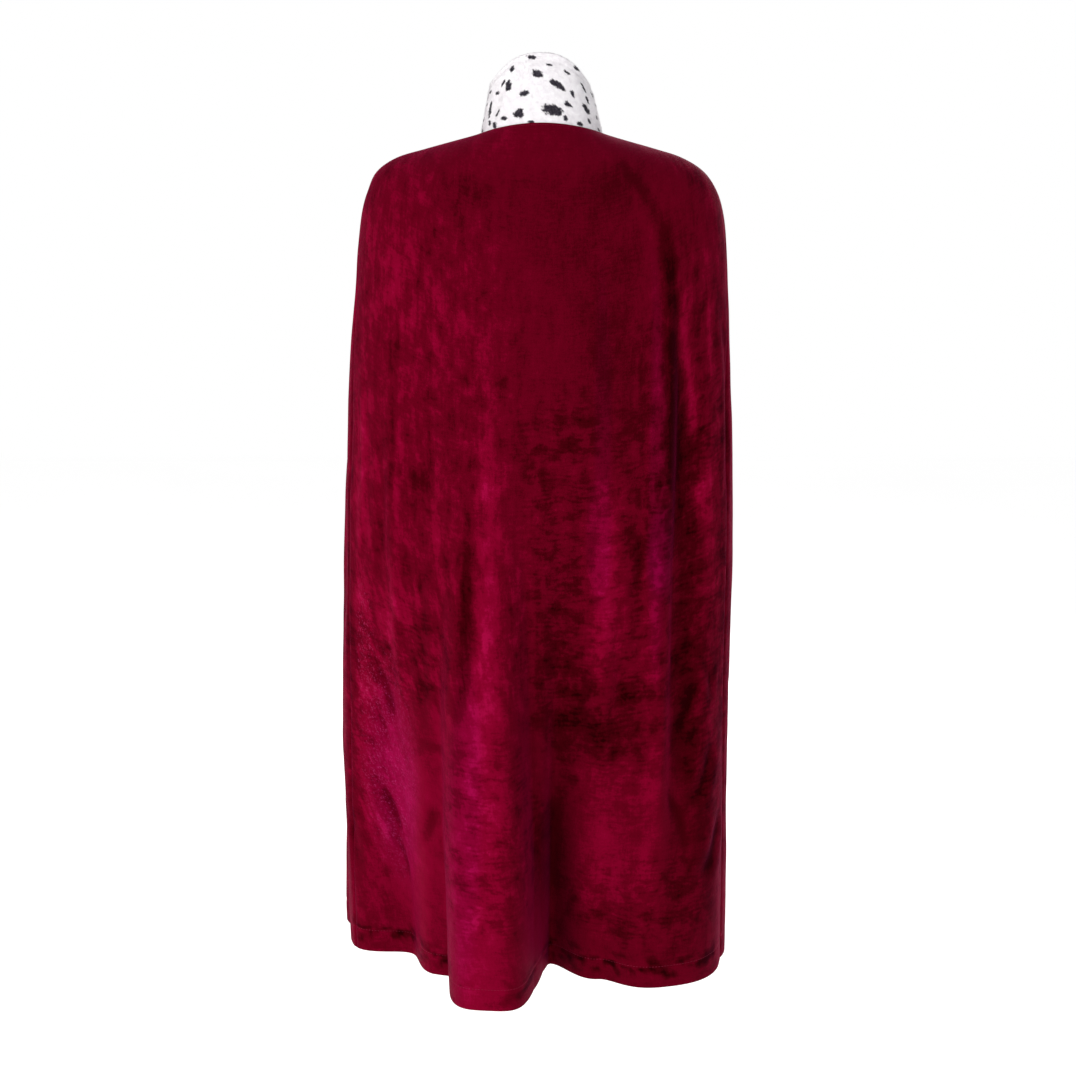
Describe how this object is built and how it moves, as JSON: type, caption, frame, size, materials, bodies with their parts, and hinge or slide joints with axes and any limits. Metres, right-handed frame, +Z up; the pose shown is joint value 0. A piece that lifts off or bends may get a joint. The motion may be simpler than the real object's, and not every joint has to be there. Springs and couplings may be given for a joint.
{
  "type": "royal mantle",
  "caption": "Long sleeveless velvet mantle with a high stand collar of spotted plush, open down the front and hooked at the throat, held in its worn, hollow form.",
  "frame": {"origin": "middle of the neck opening, level with the seam at the nape", "axes": "+Z up along the wearer, +X towards the wearer's left, the wearer's front faces -Y"},
  "size_m": [0.5408, 0.3594, 1.2151],
  "materials": {
    "velvet": "crimson knitted panne velvet, short nap pressed in uneven patches, shining where the nap lies flat; duller plain wrong side",
    "plush": "white short-pile plush with scattered uneven charcoal spots",
    "nickel_wire": "nickel-plated steel wire"
  },
  "bodies": {
    "root": {"back": "velvet", "front_left": "velvet", "front_right": "velvet", "collar": "plush", "neck_hook": "nickel_wire", "neck_eye": "nickel_wire"}
  },
  "joints": []
}
